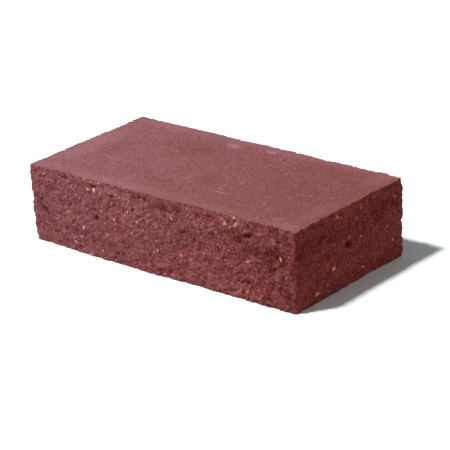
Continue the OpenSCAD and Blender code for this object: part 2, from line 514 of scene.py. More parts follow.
class BrickBreak(bpy.types.PropertyGroup):
    """Relief of the four split sides."""

    cell: FloatProperty(
        name="Cell", description="Distance between two points of a split side",
        default=0.8 * MM, min=0.6 * MM, max=4 * MM, unit="LENGTH",
    )
    lump_height: FloatProperty(
        name="Lumps", description="Height of the lumps, 4 to 16 mm across",
        default=0.42 * MM, min=0.0, max=2 * MM, unit="LENGTH",
    )
    crumb_height: FloatProperty(
        name="Crumbs", description="Height of the crumbs, 1.6 to 5 mm across",
        default=0.15 * MM, min=0.0, max=1 * MM, unit="LENGTH",
    )
    grain_size: FloatProperty(
        name="Grain size", description="Radius of the largest sand grains in the break",
        default=1.3 * MM, min=0.8 * MM, max=4 * MM, unit="LENGTH",
    )
    grains_per_cm2: FloatProperty(
        name="Grains", description="Sand grains that stand out on each square centimetre",
        default=30.0, min=0.0, max=80.0,
    )
    pits_per_dm2: FloatProperty(
        name="Pits", description="Small pits on each square decimetre",
        default=60.0, min=0.0, max=300.0,
    )
    edge_chip: FloatProperty(
        name="Edge chips", description="Depth of the chips along the edges of the beds",
        default=0.85 * MM, min=0.0, max=3 * MM, unit="LENGTH",
    )
    corner_chip: FloatProperty(
        name="Corner chips", description="Depth of the notches up the four upright corners",
        default=0.5 * MM, min=0.0, max=2 * MM, unit="LENGTH",
    )
    bed_cell: FloatProperty(
        name="Bed cell", description="Distance between two points of a moulded bed",
        default=2.2 * MM, min=1.5 * MM, max=10 * MM, unit="LENGTH",
    )
    seed: IntProperty(name="Seed", description="Picks the pattern of the break", default=5)


class BrickColours(bpy.types.PropertyGroup):
    """Pigment of the concrete and colours of the stones in it."""

    bed: FloatVectorProperty(
        name="Moulded bed", description="Cement skin of the two beds", subtype="COLOR",
        default=(0.272, 0.098, 0.100), min=0.0, max=1.0,
    )
    bed_pale: FloatVectorProperty(
        name="Bloom", description="Lime bloom on the cement skin", subtype="COLOR",
        default=(0.338, 0.143, 0.150), min=0.0, max=1.0,
    )
    split: FloatVectorProperty(
        name="Broken side", description="Freshly broken concrete", subtype="COLOR",
        default=(0.258, 0.0675, 0.0710), min=0.0, max=1.0,
    )
    # Dark sand, and painted shade in crevices
    split_dark: FloatVectorProperty(
        name="Crevice", description="Crevices and dark sand", subtype="COLOR",
        default=(0.145, 0.011, 0.013), min=0.0, max=1.0,
    )
    # Pale sand, and a painted highlight on what stands out of the break
    split_pale: FloatVectorProperty(
        name="Dusty tips", description="Dust on what stands out", subtype="COLOR",
        default=(0.42, 0.155, 0.155), min=0.0, max=1.0,
    )
    speck: FloatVectorProperty(
        name="Pale sand", description="Pale grains of sand", subtype="COLOR",
        default=(0.74, 0.38, 0.33), min=0.0, max=1.0,
    )


class BrickChips(bpy.types.PropertyGroup):
    """Stone chips in the break."""

    per_dm2: FloatProperty(
        name="Chips", description="Small scattered chips on each square decimetre",
        default=14.0, min=0.0, max=100.0,
    )
    smallest: FloatProperty(
        name="Smallest", description="Length of the smallest scattered chip",
        default=0.9 * MM, min=0.5 * MM, max=3 * MM, unit="LENGTH",
    )
    largest: FloatProperty(
        name="Largest", description="Length of the largest scattered chip",
        default=5 * MM, min=1 * MM, max=8 * MM, unit="LENGTH",
    )
    seed: IntProperty(name="Seed", description="Picks where the small chips lie", default=21)


class BrickStudio(bpy.types.PropertyGroup):
    """Camera, floor and lights."""

    azimuth: FloatProperty(
        name="Azimuth", description="Turn of the camera round the brick, 0 from the front",
        default=math.radians(38.4), subtype="ANGLE",
    )
    elevation: FloatProperty(
        name="Elevation", description="Height of the camera above the horizon",
        default=math.radians(21.62), subtype="ANGLE",
    )
    roll: FloatProperty(
        name="Roll", description="Turn of the camera about its own axis",
        default=math.radians(-1.48), subtype="ANGLE",
    )
    distance: FloatProperty(
        name="Distance", description="Distance from the camera to the point it looks at",
        default=1.757, min=0.3, unit="LENGTH",
    )
    lens: FloatProperty(
        name="Lens", description="Focal length on a 36 mm sensor", default=187.7, min=10.0,
    )
    key: FloatProperty(
        name="Key light", description="Light that the key throws on a face square to it",
        default=0.84, min=0.0, max=2.0,
    )
    fill: FloatProperty(
        name="Fill light", description="Light from all round, level with the brick",
        default=0.41, min=0.0, max=2.0,
    )
    overhead: FloatProperty(
        name="Overhead light", description="Light from straight above",
        default=0.08, min=0.0, max=2.0,
    )


# --- Numbers in a grid: noise, blur and bumps ---


def smooth_step(t):
    """Goes from 0 to 1 with level ends as t does, and stays there outside."""
    t = np.clip(t, 0, 1)
    return t * t * (3 - 2 * t)


def band_noise(shape, cell, band, rng):
    """Random relief of one standard deviation, with waves only inside the band."""
    spectrum = np.fft.rfft2(rng.standard_normal(shape))
    up = np.fft.fftfreq(shape[0], cell)[:, None]
    along = np.fft.rfftfreq(shape[1], cell)[None, :]
    c, s = math.cos(CLIMB), math.sin(CLIMB)
    waves = np.hypot((along * c + up * s) * band.drawn, (up * c - along * s) / band.drawn**0.3)
    waves[0, 0] = 1 / band.longest
    gain = (waves * band.longest) ** -band.falloff
    gain *= smooth_step(waves * band.longest * 2 - 1) * smooth_step(2 - waves * band.shortest)
    gain[0, 0] = 0
    field = np.fft.irfft2(spectrum * gain, s=shape)
    return field / field.std()


def line_noise(count, cell, band, rng):
    """The same along one line."""
    return band_noise((8, count), cell, band, rng)[0]


def blurred(field, cell, radius):
    """Gaussian blur that holds the field's edge values past its edges."""
    reach = max(1, round(3 * radius / cell))
    steps = np.arange(-reach, reach + 1) * cell / radius
    weights = np.exp(-0.5 * steps**2)
    weights /= weights.sum()
    for axis in (0, 1):
        pad = [(0, 0), (0, 0)]
        pad[axis] = (reach, reach)
        wide = np.pad(field, pad, mode="edge")
        field = np.apply_along_axis(np.convolve, axis, wide, weights, "valid")
    return field


def stamp(field, cell, x, y, reach, shape_of, combine):
    """Combines shape_of(x offsets, y offsets) with the part of the field within reach."""
    rows, columns = field.shape
    top = max(0, math.ceil((y - reach) / cell))
    bottom = min(rows, math.floor((y + reach) / cell) + 1)
    left = max(0, math.ceil((x - reach) / cell))
    right = min(columns, math.floor((x + reach) / cell) + 1)
    if top >= bottom or left >= right:
        return
    dy = (np.arange(top, bottom) * cell - y)[:, None]
    dx = (np.arange(left, right) * cell - x)[None, :]
    part = field[top:bottom, left:right]
    combine(part, shape_of(dx, dy), out=part)


def dome(radius, height):
    """Round grain that stands out by its height."""
    return lambda dx, dy: height * np.sqrt(np.maximum(0, 1 - (dx**2 + dy**2) / radius**2))


def oval(dx, dy, length, breadth, tilt):
    """Square of the distance from the middle of an oval, 1 at its rim."""
    c, s = math.cos(tilt), math.sin(tilt)
    u = (dx * c + dy * s) / (length / 2)
    v = (dy * c - dx * s) / (breadth / 2)
    return u**2 + v**2


def dent(length, breadth, depth, tilt, softness=0.75):
    """Hollow with its length tilted up from the level, its rim softer as softness grows."""

    def shape_of(dx, dy):
        return -depth * np.maximum(0, 1 - oval(dx, dy, length, breadth, tilt)) ** softness

    return shape_of


# --- Relief of the split sides ---


def grid_size(run, cell):
    """Points along a side or up it, both ends counted."""
    return max(2, round(run / cell)) + 1


def count_on(side, density, area):
    """How many there are on a side, at so many for this area."""
    return round(density * side.run * HEIGHT / area)


def side_axes(side):
    """The way along a side and the way into the brick, both level."""
    return Vector((*side.along, 0)), Vector((-side.outward[0], -side.outward[1], 0))


class SideGrid:
    """Points over a side, with how far up and along each lies and how rough it is there."""

    def __init__(self, side, made):
        self.side = side
        self.shape = (grid_size(HEIGHT, made.cell), grid_size(side.run, made.cell))
        rows, columns = self.shape
        self.cell = side.run / (columns - 1)
        self.up = np.linspace(0, HEIGHT, rows)[:, None]
        self.along = np.linspace(0, side.run, columns)[None, :]
        self.from_corner = np.minimum(self.along, side.run - self.along)
        self.rough = np.linspace(*side.rough, columns)[None, :]


def cad_depths(grid, tree):
    """How far the block lies inside its box, over a side, from rays shot square at it."""
    side = grid.side
    rows, columns = grid.shape
    along, inward = side_axes(side)
    start = Vector((*side.start, LOW.z)) - inward * RAY_START
    step = along * side.run / (columns - 1)
    edge = 0.3 * MM
    places = np.arange(columns)
    depths = np.empty(grid.shape)
    for k in range(rows):
        z = min(max(HEIGHT * k / (rows - 1), edge), HEIGHT - edge)
        line = start + Vector((0, 0, z))
        found = [tree.ray_cast(line + step * i, inward, RAY_REACH) for i in range(columns)]
        hit = np.array([f[0] is not None and f[1].dot(inward) < -0.5 for f in found])
        near = np.array([f[3] - RAY_START for f, square in zip(found, hit) if square])
        depths[k] = np.interp(places, places[hit], near)
    return depths


def grain_relief(grid, made, rng):
    """Sand grains that stand out, as heights over a side."""
    grains = np.zeros(grid.shape)
    for _ in range(count_on(grid.side, made.grains_per_cm2, CM2)):
        x, y = rng.uniform(0, grid.side.run), rng.uniform(0, HEIGHT)
        radius = made.grain_size * rng.uniform(*GRAIN_RADIUS) ** GRAINS_SMALL
        height = radius * rng.uniform(*GRAIN_HEIGHT)
        stamp(grains, grid.cell, x, y, radius, dome(radius, height), np.maximum)
    return grains


def press_pits(relief, grid, made, rng):
    """Presses small pits into the relief, wherever they fall."""
    for _ in range(count_on(grid.side, made.pits_per_dm2, DM2)):
        x, y = rng.uniform(0, grid.side.run), rng.uniform(0, HEIGHT)
        length = rng.uniform(*PIT_LENGTH) * MM
        breadth = length * rng.uniform(*PIT_BREADTH)
        depth = length * rng.uniform(*PIT_DEPTH)
        pit = dent(length, breadth, depth, rng.uniform(*PIT_TILT))
        stamp(relief, grid.cell, x, y, length, pit, np.add)


def press_hollows(relief, grid):
    """Presses the listed hollows into the relief, the broad ones with a softer rim."""
    for h in map(Hollow._make, HOLLOWS[grid.side.name]):
        size = max(h.length, h.breadth) * MM
        softness = SOFT_RIM if h.breadth > BROAD_HOLLOW else FIRM_RIM
        tilt = math.radians(h.tilt)
        hollow = dent(h.length * MM, h.breadth * MM, h.depth * MM, tilt, softness)
        stamp(relief, grid.cell, h.along * MM, h.up * MM, size, hollow, np.add)


def fine_relief(grid, made, rng):
    """What stands out from the block's own relief: lumps, crumbs, grains, pits, hollows."""
    lumps = band_noise(grid.shape, grid.cell, LUMPS, rng)
    ridges = 1 - np.abs(band_noise(grid.shape, grid.cell, RIDGES, rng))
    crumbs = band_noise(grid.shape, grid.cell, CRUMBS, rng)
    relief = made.lump_height * (0.7 * lumps + 0.2 * ridges) + made.crumb_height * crumbs
    relief *= 0.3 + 0.7 * grid.rough
    relief += grain_relief(grid, made, rng) * grid.rough
    press_pits(relief, grid, made, rng)
    press_hollows(relief, grid)
    return relief - relief.mean()


def edge_loss(grid, made, rng):
    """What has broken off along the edges of the beds and at the upright corners."""
    rows, columns = grid.shape
    up, along, run = grid.up, grid.along, grid.side.run
    whole = 0.25 + 0.75 * smooth_step(grid.from_corner / EDGE_ENDS)
    loss = np.zeros(grid.shape)
    for from_bed, share in ((up, 0.5), (HEIGHT - up, 1.0)):
        bite = 0.8 * line_noise(columns, grid.cell, BITES, rng)
        bite += 0.6 * line_noise(columns, grid.cell, NIBBLES, rng)
        bite = np.maximum(0, bite - 0.1) * grid.rough * whole * share
        loss += made.edge_chip * bite * np.exp(-((from_bed / EDGE_REACH) ** 1.5))
    for from_end in (along, run - along):
        notch = band_noise((rows, 8), grid.cell, NOTCHES, rng)[:, :1]
        notch = np.maximum(-0.8, notch) * smooth_step(up / CORNER_ENDS)
        notch *= smooth_step((HEIGHT - up) / CORNER_ENDS)
        loss += made.corner_chip * notch * np.exp(-((from_end / CORNER_REACH) ** 1.5))
    return loss + CORNER_WEAR * np.exp(-((grid.from_corner / WEAR_REACH) ** 2))


def patches_on(side, rng):
    """The patches listed for a side, or else guessed ones, some darker and some paler."""
    if side.name in PATCHES:
        yield from map(Patch._make, PATCHES[side.name])
        return
    for _ in range(round(side.run / PATCH_PITCH)):
        along, up = rng.uniform(0, side.run / MM), rng.uniform(0, HEIGHT / MM)
        length, breadth = rng.uniform(*PATCH_LENGTH), rng.uniform(*PATCH_BREADTH)
        strength, tilt = rng.choice(PATCH_STRENGTHS), rng.uniform(*PATCH_TILT)
        yield Patch(along, up, length, breadth, strength, tilt)


def patch_strength(grid, rng):
    """How much darker than plain each point of a side is, as painted shade, and below zero paler,
    as painted light.
    """
    up, along = grid.up / MM, grid.along / MM
    total = np.zeros(grid.shape)
    for p in patches_on(grid.side, rng):
        off = oval(along - p.along, up - p.up, p.length, p.breadth, math.radians(p.tilt))
        total += p.strength * np.exp(-off)
    return total


def side_fields(side, tree, made, rng):
    """Over a side: how deep the finished skin lies, how hollow it is, and how much painted shade
    its patches give.
    """
    grid = SideGrid(side, made)
    base = blurred(cad_depths(grid, tree), grid.cell, BLOCK_SMOOTHING)
    relief = fine_relief(grid, made, rng)
    loss = edge_loss(grid, made, rng)
    fine = relief * (0.3 + 0.7 * smooth_step(grid.from_corner / QUIET_CORNER))
    # How far each point lies below its surroundings: the material paints shade into the hollows
    # and a highlight onto what stands out
    hollow = blurred(fine, grid.cell, HOLLOW_REACH) - fine
    depth = np.maximum(base - fine + loss, -MOST_PROUD)
    return depth, hollow / MM, patch_strength(grid, rng)


# --- Skin of the brick ---


def ring_points(depths):
    """Points of the four sides, as rows of one closed ring of columns."""
    up = np.linspace(LOW.z, HIGH.z, depths[0].shape[0])
    span = 2 * TURN_POINTS + 1
    even = np.full(span, 1 / span)
    pieces = []
    for n, side in enumerate(SIDES):
        own = depths[n]
        before = depths[n - 1][:, -1]
        after = depths[(n + 1) % 4][:, 0]
        along = np.linspace(0, side.run, own.shape[1])[None, :]
        shift = np.zeros_like(own)
        for push, gap, sign in ((before, along, 1), (after, side.run - along, -1)):
            slow = np.convolve(np.pad(push, TURN_POINTS, mode="edge"), even, "valid")
            far = 1 - smooth_step(gap / BROAD_TURN)
            near = 1 - smooth_step(gap / CLOSE_TURN)
            shift += sign * (slow[:, None] * far + (push - slow)[:, None] * near)
        place = along + shift
        x = side.start[0] + side.along[0] * place - side.outward[0] * own
        y = side.start[1] + side.along[1] * place - side.outward[1] * own
        z = np.broadcast_to(up[:, None], x.shape)
        pieces.append(np.stack([x, y, z], axis=-1)[:, :-1])
    return np.concatenate(pieces, axis=1)


def split_outline(outline, made):
    """The outline's points on each side, its two corners with it."""
    counts = [grid_size(side.run, made.cell) - 1 for side in SIDES]
    closed = np.vstack([outline, outline[:1]])
    ends = np.cumsum([0] + counts)
    return [closed[ends[n] : ends[n + 1] + 1] for n in range(4)]


def bed_grid(outline, made, rng):
    """Inner points of a bed, none nearer to its outline than about half a cell."""
    cell = made.bed_cell
    margin = 0.6 * cell
    xs = np.arange(LOW.x + cell, HIGH.x, cell)
    ys = np.arange(LOW.y + cell, HIGH.y, cell)
    grid = np.stack(np.meshgrid(xs, ys), axis=-1).reshape(-1, 2)
    grid += rng.uniform(-0.25, 0.25, grid.shape) * cell
    front, right, back, left = split_outline(outline, made)
    keep = grid[:, 1] > np.interp(grid[:, 0], front[:, 0], front[:, 1]) + margin
    keep &= grid[:, 1] < np.interp(grid[:, 0], back[::-1, 0], back[::-1, 1]) - margin
    keep &= grid[:, 0] < np.interp(grid[:, 1], right[:, 1], right[:, 0]) - margin
    keep &= grid[:, 0] > np.interp(grid[:, 1], left[::-1, 1], left[::-1, 0]) + margin
    return grid[keep]


def bed_relief(points, rng):
    """Depth of the shallow waves and of the dents that the mould leaves in a bed."""
    depth = np.zeros(len(points))
    for kind in (BED_WAVES, BED_DENTS):
        for _ in range(kind.count):
            centre = rng.uniform((LOW.x, LOW.y), (HIGH.x, HIGH.y))
            reach = rng.uniform(*kind.reach) * MM
            squared = ((points - centre) ** 2).sum(axis=1) / reach**2
            depth += rng.uniform(*kind.depth) * MM * np.exp(-squared)
    return depth


def bed_triangles(outline, inner):
    """Triangles between a bed's outline and its inner points, as rows of point numbers."""
    points = [Vector(p) for p in outline] + [Vector(p) for p in inner]
    loop = list(range(len(outline)))
    found = delaunay_2d_cdt(points, [], [loop], 1, 1e-9)
    if len(found[0]) != len(points):
        raise RuntimeError("a bed's outline crosses itself")
    back_to = [origin[0] for origin in found[3]]
    return np.array([[back_to[i] for i in face] for face in found[2]])


def build_bed(outline, level, inward, made, rng):
    """Inner points of a bed, and its triangles with the outline's points numbered first."""
    inner = bed_grid(outline, made, rng)
    faces = bed_triangles(outline, inner)
    if inward > 0:
        faces = faces[:, ::-1]
    height = level + inward * bed_relief(inner, rng)
    return np.column_stack([inner, height]), faces


def side_uvs(side, rows, columns):
    """The four corners of each of a side's faces, laid flat, in metres."""
    s = np.linspace(0, side.run, columns + 1)
    t = np.linspace(0, HEIGHT, rows)
    left, right = s[:-1][None, :], s[1:][None, :]
    low, high = t[:-1][:, None], t[1:][:, None]
    corners = ((left, low), (right, low), (right, high), (left, high))
    cells = (rows - 1, columns)
    return [(np.broadcast_to(a, cells), np.broadcast_to(b, cells)) for a, b in corners]


def skin_uvs(rows, made, bed_corners):
    """Map with each side and each bed laid flat and apart, one place for each face corner."""
    gap = 3 * MM
    scale = 1 / (2 * WIDTH + 2 * HEIGHT + 5 * gap)
    shelf = WIDTH + gap
    origins = {
        "front": (gap, 2 * shelf + gap, False),
        "back": (gap, 2 * shelf + HEIGHT + 2 * gap, False),
        "right": (LENGTH + 2 * gap, gap, True),
        "left": (LENGTH + 2 * gap, shelf + gap, True),
    }
    places = []
    for side in SIDES:
        x, y, upright = origins[side.name]
        quads = side_uvs(side, rows, grid_size(side.run, made.cell) - 1)
        if upright:
            quads = [(HEIGHT - b, a) for a, b in quads]
        places.append(np.stack([np.stack([x + a, y + b], -1) for a, b in quads], axis=2))
    sides = np.concatenate(places, axis=1).reshape(-1, 2)
    beds = [
        flat - (LOW.x, LOW.y) + (gap, y) for flat, y in zip(bed_corners, (gap, shelf + gap))
    ]
    return np.vstack([sides, *beds]) * scale


def build_skin(made):
    """One closed mesh: four split sides and two moulded beds."""
    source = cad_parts[NODE].data
    tree = BVHTree.FromPolygons(
        [v.co for v in source.vertices], [tuple(p.vertices) for p in source.polygons]
    )
    rng = np.random.default_rng(made.seed)
    depths, hollows, painted_patches = zip(*(side_fields(side, tree, made, rng) for side in SIDES))
    ring = ring_points(depths)
    rows, count = ring.shape[:2]
    for row, inward in ((0, 1), (-1, -1)):
        crumble = np.maximum(0, line_noise(count, made.cell, RAGGED_RIM, rng))
        ring[row, :, 2] += inward * np.minimum(RIM_CRUMBLE * crumble, RIM_MOST)
    # How much of the painted shade that deepens the red each point takes: all of it on the two
    # ends
    deep = [np.full(d.shape, side.deep) for side, d in zip(SIDES, depths)]
    traits = {"hollow": hollows, "patch": painted_patches, "deep": deep}
    for name, fields in traits.items():
        traits[name] = np.concatenate([f[:, :-1] for f in fields], axis=1).reshape(-1)
    corner = np.arange(rows * count).reshape(rows, count)
    turned = np.roll(corner, -1, axis=1)
    quads = np.stack([corner[:-1], turned[:-1], turned[1:], corner[1:]], -1).reshape(-1, 4)
    points, bed_faces, bed_corners = [ring.reshape(-1, 3)], [], []
    for row, level, inward in ((0, LOW.z, 1), (rows - 1, HIGH.z, -1)):
        outline = ring[row, :, :2]
        inner, faces = build_bed(outline, level, inward, made, rng)
        first = sum(len(part) for part in points)
        numbers = np.concatenate([corner[row], np.arange(first, first + len(inner))])
        points.append(inner)
        bed_faces.append(numbers[faces])
        bed_corners.append(np.vstack([outline, inner[:, :2]])[faces.reshape(-1)])
    uvs = skin_uvs(rows, made, bed_corners)
    return make_mesh(np.vstack(points), quads, np.vstack(bed_faces), uvs, traits)


def make_mesh(points, quads, bed_faces, uvs, traits):
    """Blender mesh of the skin: sides use its first material and beds its second."""
    mesh = bpy.data.meshes.new(SKIN_NAME)
    faces = quads.tolist() + bed_faces.tolist()
    mesh.from_pydata(points.tolist(), [], faces)
    mesh.update()
    is_bed = np.arange(len(faces)) >= len(quads)
    mesh.polygons.foreach_set("material_index", is_bed.astype(np.int32))
    mesh.polygons.foreach_set("use_smooth", np.ones(len(faces), bool))
    layer = mesh.uv_layers.new(name=MAP_NAME)
    layer.uv.foreach_set("vector", uvs.astype(np.float32).reshape(-1))
    for name, values in traits.items():
        padded = np.zeros(len(points), np.float32)
        padded[: len(values)] = values
        mesh.attributes.new(name, "FLOAT", "POINT").data.foreach_set("value", padded)
    mark_bed_edges(mesh, is_bed)
    if mesh.validate():
        raise RuntimeError("the brick's mesh had faults")
    return mesh


def mark_bed_edges(mesh, is_bed):
    """Makes the edges between a bed and a side sharp, so that light breaks there."""
    loops = np.empty(len(mesh.loops), np.int32)
    mesh.loops.foreach_get("edge_index", loops)
    sizes = np.empty(len(mesh.polygons), np.int32)
    mesh.polygons.foreach_get("loop_total", sizes)
    on_bed = np.repeat(is_bed, sizes)
    bed_count = np.bincount(loops[on_bed], minlength=len(mesh.edges))
    side_count = np.bincount(loops[~on_bed], minlength=len(mesh.edges))
    sharp = mesh.attributes.new("sharp_edge", "BOOLEAN", "EDGE")
    sharp.data.foreach_set("value", (bed_count > 0) & (side_count > 0))


# --- Materials ---


class Nodes:
    """Short hand for the nodes of one material or of the world."""

    def __init__(self, owner):
        owner.use_nodes = True
        self.tree = owner.node_tree
        self.place = self.add("TexCoord", "Object")

    def link(self, source, target):
        """Joins a socket, or sets a plain value."""
        if isinstance(source, bpy.types.NodeSocket):
            self.tree.links.new(source, target)
        elif target.type == "RGBA":
            target.default_value = (*source, 1)
        else:
            target.default_value = source

    def fill(self, node, inputs):
        """Links or sets the listed inputs of a node."""
        for name, source in inputs.items():
            self.link(source, node.inputs[name])

    def add(self, kind, output, inputs=None, **settings):
        """One output of a new node that has these settings and inputs."""
        node = self.tree.nodes.new("ShaderNode" + kind)
        for name, value in settings.items():
            setattr(node, name, value)
        self.fill(node, inputs or {})
        return node.outputs[output]

    def noise(self, size, detail=2.0, roughness=0.5, place=None):
        """Soft noise whose largest features are about this many metres across."""
        shape = {"Scale": 1 / size, "Detail": detail, "Roughness": roughness}
        return self.add("TexNoise", "Fac", {"Vector": place or self.place, **shape})

    def cells(self, size, output="Color"):
        """Cells about this many metres across: a random colour each, or distance to the middle."""
        return self.add("TexVoronoi", output, {"Vector": self.place, "Scale": 1 / size})

    def cell_tone(self, size, channel):
        """A random value for each cell, from one channel of its colour."""
        return self.add("SeparateColor", channel, {"Color": self.cells(size)})

    def axis(self, place, name):
        """How far a place lies along X, Y or Z."""
        return self.add("SeparateXYZ", name, {"Vector": place})

    def ramp(self, value, low, high, to_low=0.0, to_high=1.0):
        """Maps low..high to to_low..to_high, and holds the ends."""
        ends = {"From Min": low, "From Max": high, "To Min": to_low, "To Max": to_high}
        inputs = {"Value": value, **ends}
        return self.add("MapRange", "Result", inputs, interpolation_type="SMOOTHSTEP")

    def math(self, how, a, b):
        """Arithmetic on two values."""
        return self.add("Math", "Value", {0: a, 1: b}, operation=how)

    def mix(self, factor, a, b, how="MIX"):
        """Blends two colours."""
        inputs = {"Factor": factor, "A": a, "B": b}
        return self.add("Mix", "Result", inputs, data_type="RGBA", blend_type=how)

    def times(self, a, b):
        """Two colours multiplied."""
        return self.mix(1.0, a, b, "MULTIPLY")

    def coats(self, body, coats):
        """A colour under many coats: each a value, the ramp that makes its cover, a colour."""
        for value, ramp, colour in coats:
            body = self.mix(self.ramp(value, *ramp), body, colour)
        return body

    def attribute(self, name, output="Fac"):
        """A value or colour stored in the mesh."""
        return self.add("Attribute", output, attribute_name=name)

    def bump(self, height, distance, after=None):
        """Bump of a height from 0 to 1 that stands for this many metres."""
        inputs = {"Height": height, "Distance": distance}
        if after:
            inputs["Normal"] = after
        return self.add("Bump", "Normal", inputs)

    def shade(self, colour, roughness, gloss, normal=None):
        """Sets the surface."""
        inputs = {"Base Color": colour, "Roughness": roughness, "Specular IOR Level": gloss}
        if normal:
            inputs["Normal"] = normal
        self.fill(self.tree.nodes["Principled BSDF"], inputs)


def ragged(n, size, reach):
    """Object coordinates pushed about by noise, for marks with a ragged edge."""
    colour = n.add("TexNoise", "Color", {"Scale": 1 / size, "Vector": n.place})
    push = {0: colour, 1: (2 * reach, 2 * reach, 0), 2: (-reach, -reach, 0)}
    pushed = n.add("VectorMath", "Vector", push, operation="MULTIPLY_ADD")
    return n.add("VectorMath", "Vector", {0: n.place, 1: pushed})


def marks(n, places, around, core=0.1):
    """Oval marks at the listed places, full inside the core, the strongest where some meet."""
    total = 0.0
    for mark in map(Mark._make, places):
        local = n.add("Mapping", "Vector", {
            "Vector": around,
            "Location": (mark.x * MM, mark.y * MM, HIGH.z),
            "Rotation": (0, 0, math.radians(mark.tilt)),
            "Scale": (mark.length / 2 * MM, mark.breadth / 2 * MM, MARK_DEPTH),
        }, vector_type="TEXTURE")
        off = n.add("VectorMath", "Value", {0: local}, operation="LENGTH")
        total = n.math("MAXIMUM", n.ramp(off, core, MARK_RIM, mark.strength, 0.0), total)
    return total


def rightward(n, left, right):
    """A number that goes from one value to the other, left to right along the brick."""
    return n.ramp(n.axis(n.place, "X"), -70 * MM, 90 * MM, left, right)


def drifted(n, body, along, reach, ends, cloud_size, clouds):
    """A colour that drifts from end to end of the brick, partly pigment and partly painted light,
    and from cloud to cloud.
    """
    body = n.times(body, n.mix(n.ramp(along, -reach, reach), *ends))
    cloud = n.ramp(n.noise(cloud_size, 3, 0.6), 0.38, 0.62)
    return n.times(body, n.mix(cloud, *clouds))


def broken_sand(n, colours, fine):
    """Colour of the break close up: sand of many tones, painted shade in crevices and a painted
    highlight on the tips.
    """
    dark, pale = colours.split_dark, colours.split_pale
    sand = n.cell_tone(0.8 * MM, "Red")
    hollow = n.attribute("hollow")
    body = n.coats(colours.split, (
        (sand, (0.0, 0.6, 0.8, 0.0), dark),
        (sand, (0.5, 1.0, 0.0, 0.7), pale),
        # Painted shade in crevices, and a painted highlight on what stands out
        (hollow, (0.0, 0.8, 0.0, 0.5), dark),
        (hollow, (0.3, 1.3, 0.0, 0.85), CREVICE_SHADE),
        (hollow, (-0.8, -0.1, 0.45, 0.0), pale),
        (n.cell_tone(1.2 * MM, "Green"), (0.992, 0.997, 0.0, 0.7), colours.speck),
        (fine, (0.3, 0.5, 0.35, 0.0), dark),
        (fine, (0.5, 0.7, 0.0, 0.25), pale),
    ))
    grit = n.cell_tone(1.3 * MM, "Blue")
    coarser = rightward(n, 0.15, 1.0)
    for ramp, colour in (((0.05, 0.3, 0.65, 0.0), dark), ((0.72, 0.95, 0.0, 0.55), pale)):
        body = n.mix(n.math("MULTIPLY", coarser, n.ramp(grit, *ramp)), body, colour)
    return body


def patch_shade(n, deep):
    """What the patches of painted shade and painted light multiply the colour of the break by."""
    soft = n.ramp(n.noise(8 * MM, 3, 0.6), 0.36, 0.64, -0.35, 0.35)
    swing = n.math("SUBTRACT", rightward(n, 1.0, 1.6), n.math("MULTIPLY", deep, 0.6))
    patch = n.math("ADD", n.attribute("patch"), n.math("MULTIPLY", soft, swing))
    return n.coats(WHITE, (
        (patch, (0.0, 2.0), DARKER),
        (patch, (-1.0, 0.0, 1.0, 0.0), PALER),
        (patch, (-2.0, -1.0, 1.0, 0.0), PALEST),
    ))


def split_material(colours):
    """Broken concrete: sand, painted shade in crevices and on the ends, a painted highlight on the
    tips, patches of painted shade and light, and a drift of the pigment that is partly painted
    light.
    """
    material = bpy.data.materials.new("split_concrete")
    n = Nodes(material)
    fine = n.noise(0.6 * MM, 2, 0.6)
    body = broken_sand(n, colours, fine)
    along = n.axis(ragged(n, 12 * MM, 30 * MM), "X")
    body = drifted(n, body, along, 110 * MM, (PLUM, BROWN), 9 * MM, (RUST, VIOLET))
    # The two ends take a painted shade that deepens their red; the patches paint shade and light
    deep = n.attribute("deep")
    body = n.times(body, patch_shade(n, deep))
    body = n.mix(deep, body, n.times(body, PAINTED_SHADE_RED))
    coarse = n.bump(n.cells(1.0 * MM, "Distance"), -0.5 * MM)
    gritty = n.bump(n.noise(0.9 * MM, 3, 0.7), 0.5 * MM, coarse)
    n.shade(body, n.ramp(fine, 0.25, 0.75, 0.82, 0.97), 0.08, gritty)
    return material


def marked(n, body, colours):
    """A bed's colour with its bloom, lime, scuffs and dark stains."""
    torn = ragged(n, 3 * MM, 2.4 * MM)
    frayed = ragged(n, 1.2 * MM, 0.9 * MM)
    patchy = n.ramp(n.noise(1.5 * MM, 2), 0.36, 0.62, 0.35, 1.0)
    bloom = [1.2 * c for c in colours.bed_pale]
    for spots, colour in (
        (marks(n, PALE_MARKS, torn), bloom),
        (marks(n, LIME_MARKS, torn), LIME),
        (marks(n, SCUFFS, frayed, 0.6), SCUFF),
    ):
        body = n.mix(n.math("MULTIPLY", spots, patchy), body, colour)
    return n.mix(marks(n, DARK_MARKS, torn), body, colours.split_dark)


def pinholes(n):
    """1 in the small round holes of a bed, which only some of the cells have."""
    size = 5.5 * MM
    hole = n.ramp(n.cells(size, "Distance"), 0.06, 0.11, 1.0, 0.0)
    rare = n.ramp(n.cell_tone(size, "Blue"), 0.6, 0.62)
    return n.math("MULTIPLY", hole, rare)


